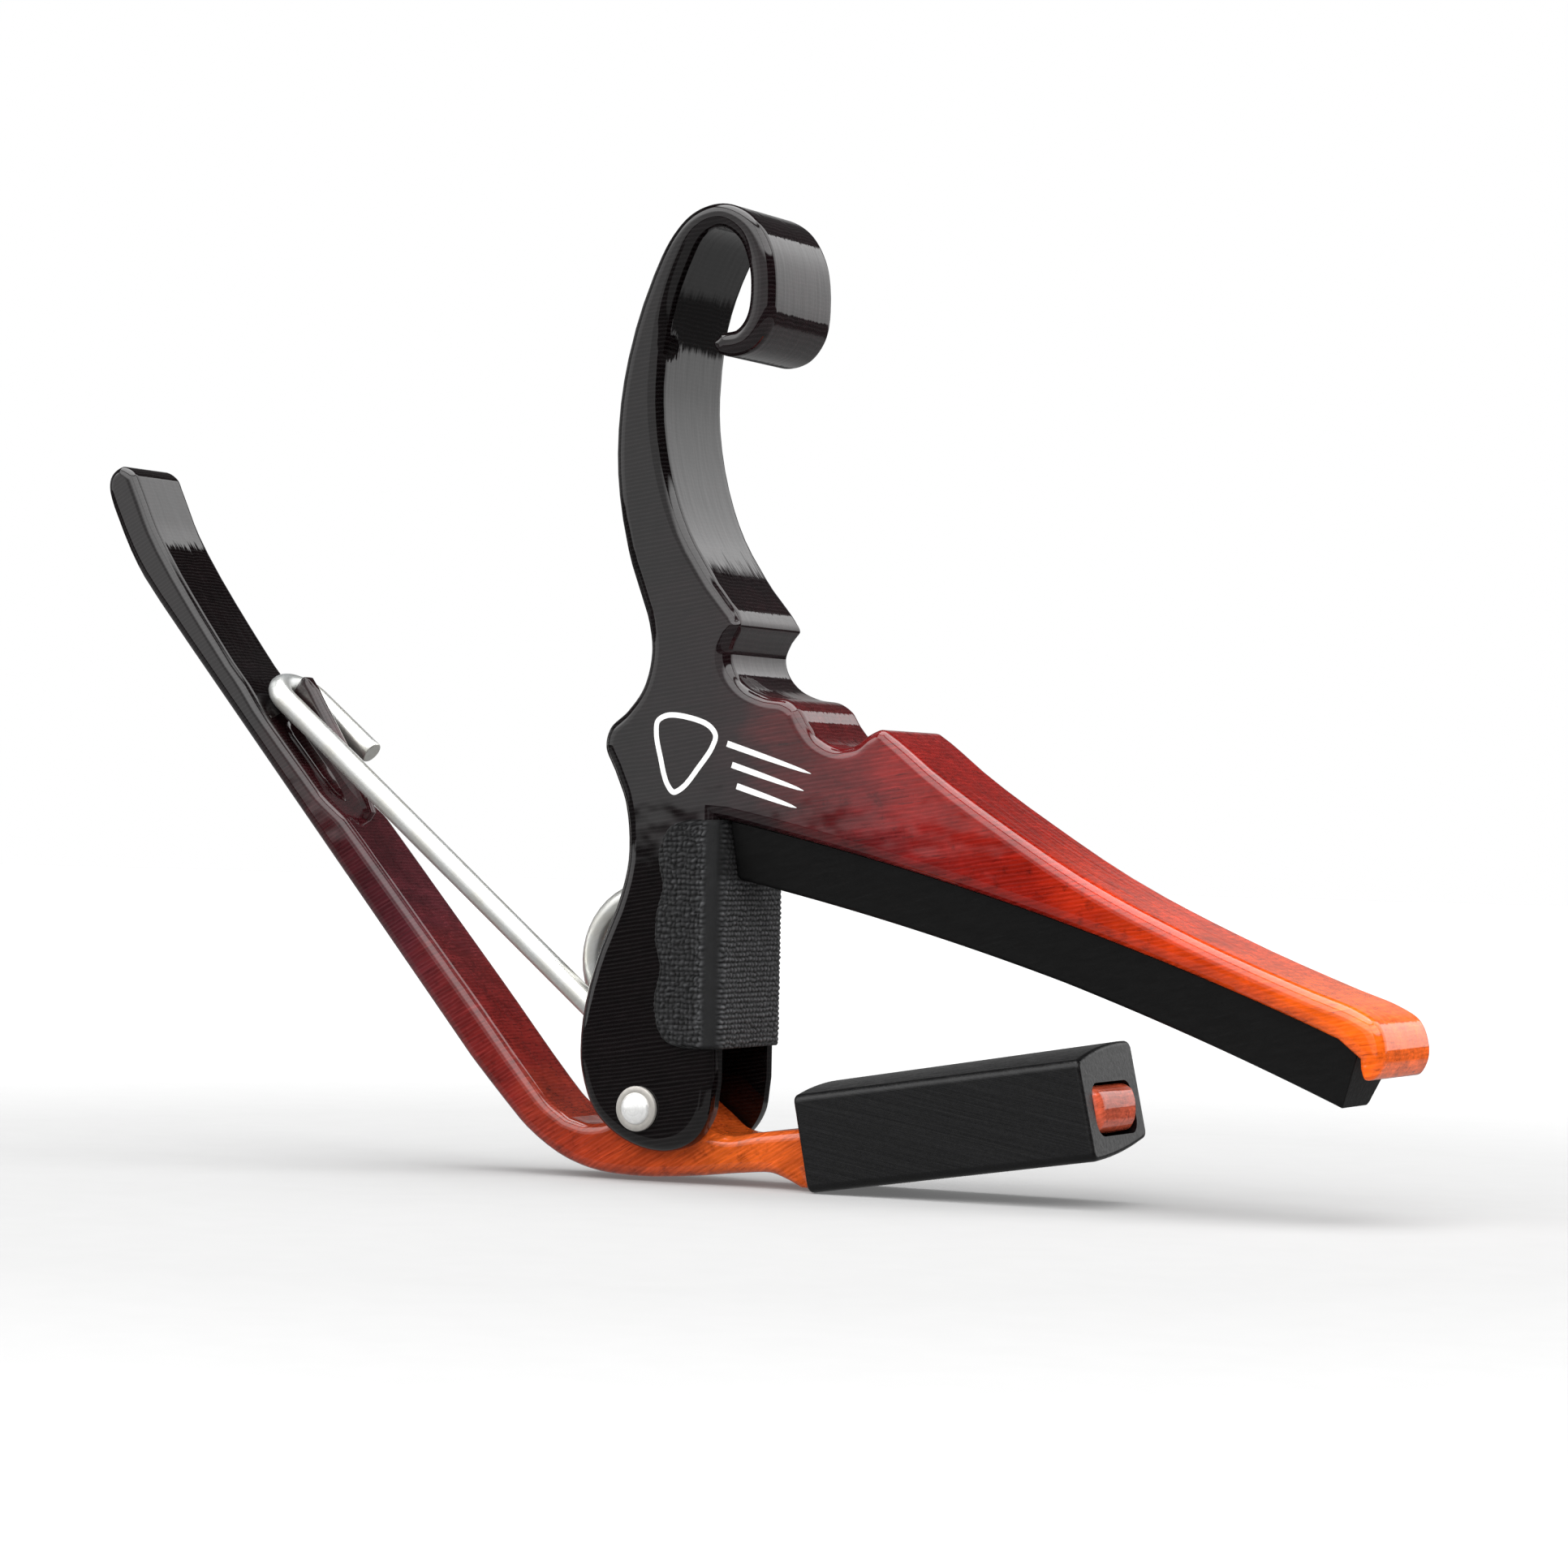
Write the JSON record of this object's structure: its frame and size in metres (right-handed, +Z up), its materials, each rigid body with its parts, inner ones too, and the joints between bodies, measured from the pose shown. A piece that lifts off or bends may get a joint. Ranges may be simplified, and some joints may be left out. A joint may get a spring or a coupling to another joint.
{
  "type": "guitar capo",
  "caption": "Spring clamp capo: lacquered scroll body with a curved string pad, a pivoting squeeze lever with a rubber neck boot, and a coiled torsion spring.",
  "frame": {"origin": "on the surface it stands on, below the middle of the bounding box, in the lever's middle plane", "axes": "+X from the squeeze handle towards the jaw's tip, +Y across the thickness along the rivet, away from the side with the spring's long leg, +Z up towards the scroll"},
  "size_m": [0.1258, 0.0138, 0.084],
  "materials": {
    "sunburst_lacquer": "gloss",
    "nickel_steel": "satin",
    "zinc_wire": "satin",
    "black_rubber": "satin",
    "black_tape": "matte"
  },
  "bodies": {
    "body": {"upper_body": "sunburst_lacquer", "pivot_rivet": "nickel_steel", "string_pad": "black_rubber", "cloth_cover": "black_tape"},
    "lever": {"lever_arm": "sunburst_lacquer", "neck_boot": "black_rubber"},
    "spring": {"torsion_spring": "zinc_wire"}
  },
  "joints": [
    {"name": "squeeze", "type": "hinge", "parent": "body", "child": "lever", "pos_m": [-0.0041, 0, 0.0064], "axis": [0, 1, 0], "range_deg": [0, 33], "stiffness_Nm_per_rad": 2.6, "springref_deg": -25.78},
    {"name": "spring_swing", "type": "hinge", "parent": "body", "child": "spring", "pos_m": [-0.00538, 0, 0.01866], "axis": [0, 1, 0], "range_deg": [0, 42], "deforming": ["torsion_spring"]}
  ],
  "couplings": [
    {"joint": "spring_swing", "follows": "squeeze", "ratio": 1.25}
  ]
}
